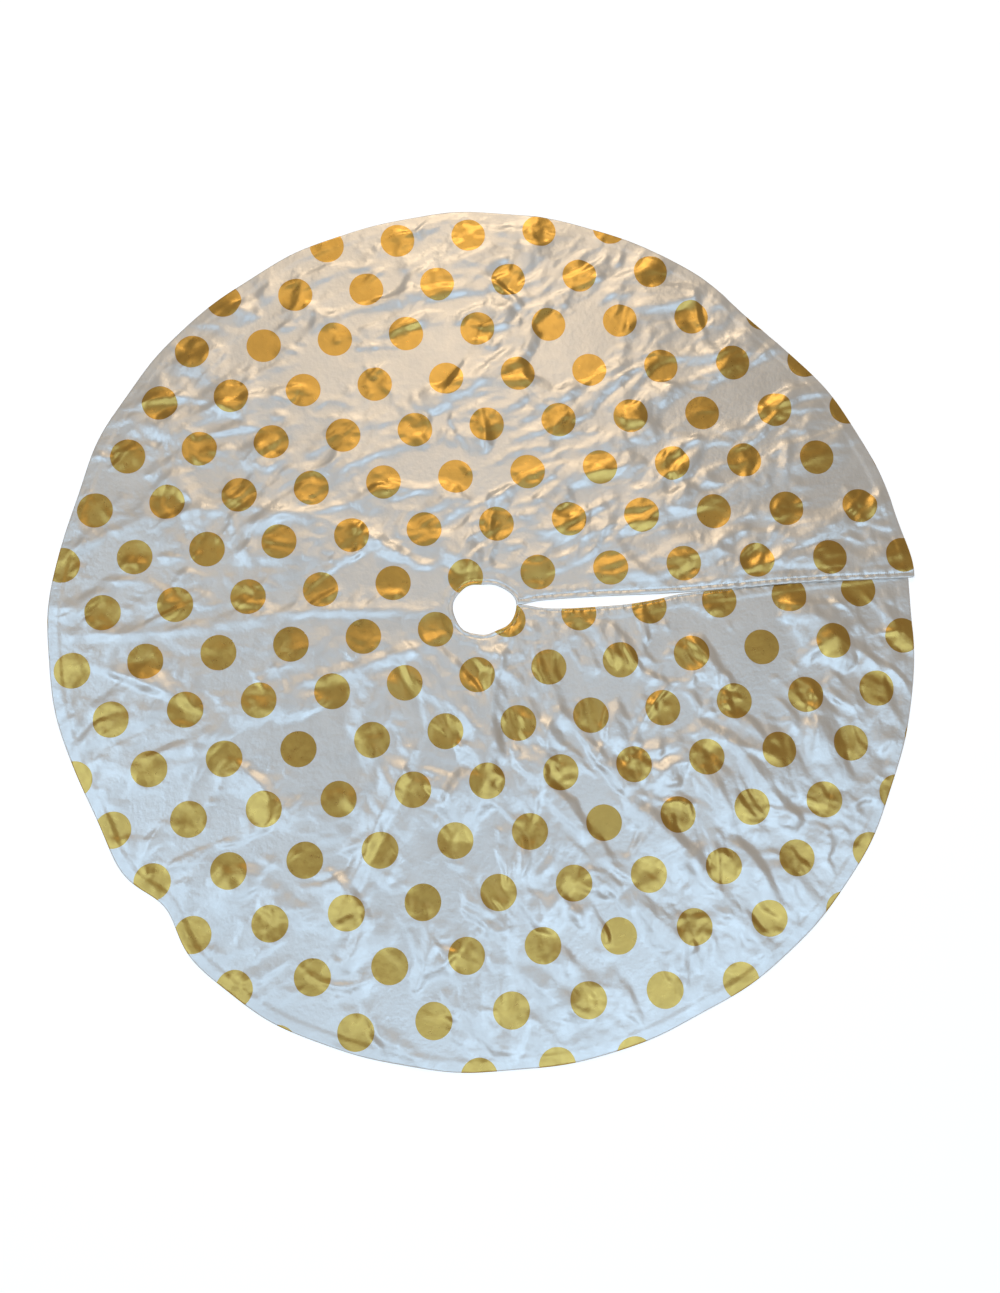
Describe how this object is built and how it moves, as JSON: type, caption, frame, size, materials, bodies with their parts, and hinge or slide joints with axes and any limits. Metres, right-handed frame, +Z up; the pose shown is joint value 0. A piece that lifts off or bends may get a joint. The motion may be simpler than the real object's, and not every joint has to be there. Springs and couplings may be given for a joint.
{
  "type": "tree skirt",
  "caption": "Round lined satin tree skirt with metallic dots, a trunk hole and a slit whose upper edge laps over the lower one.",
  "frame": {"origin": "centre of the trunk hole, on the underside", "axes": "+X along the slit from the hole to the rim, +Y towards the half whose edge laps over, +Z up out of the face"},
  "size_m": [1.2189, 1.2188, 0.0107],
  "materials": {
    "satin": "satin weave, soft sheen",
    "lining_cloth": "plain weave, matt",
    "white_thread": "spun polyester thread",
    "gold_foil": "gold foil print, semi-gloss"
  },
  "bodies": {
    "front_half": {"front_face": "satin", "front_lining": "lining_cloth", "front_rim_seam": "white_thread", "front_neck_seam": "white_thread", "front_slit_seam": "white_thread", "front_neck_topstitch": "white_thread", "front_slit_topstitch": "white_thread"},
    "back_half": {"back_face": "satin", "back_lining": "lining_cloth", "back_rim_seam": "white_thread", "back_neck_seam": "white_thread", "back_neck_topstitch": "white_thread"},
    "over_flap": {"flap_face": "satin", "flap_lining": "lining_cloth", "flap_rim_seam": "white_thread", "flap_slit_seam": "white_thread", "flap_slit_topstitch": "white_thread"}
  },
  "joints": [
    {"name": "storage_fold", "type": "hinge", "parent": "front_half", "child": "back_half", "pos_m": [0, -0.012, 0.0092], "axis": [1, 0, 0], "range_deg": [0, 172]},
    {"name": "slit_flap", "type": "hinge", "parent": "back_half", "child": "over_flap", "pos_m": [0.03989, 0.003, 0.0062], "axis": [-0.9455, -0.3256, 0], "range_deg": [0, 170]}
  ]
}
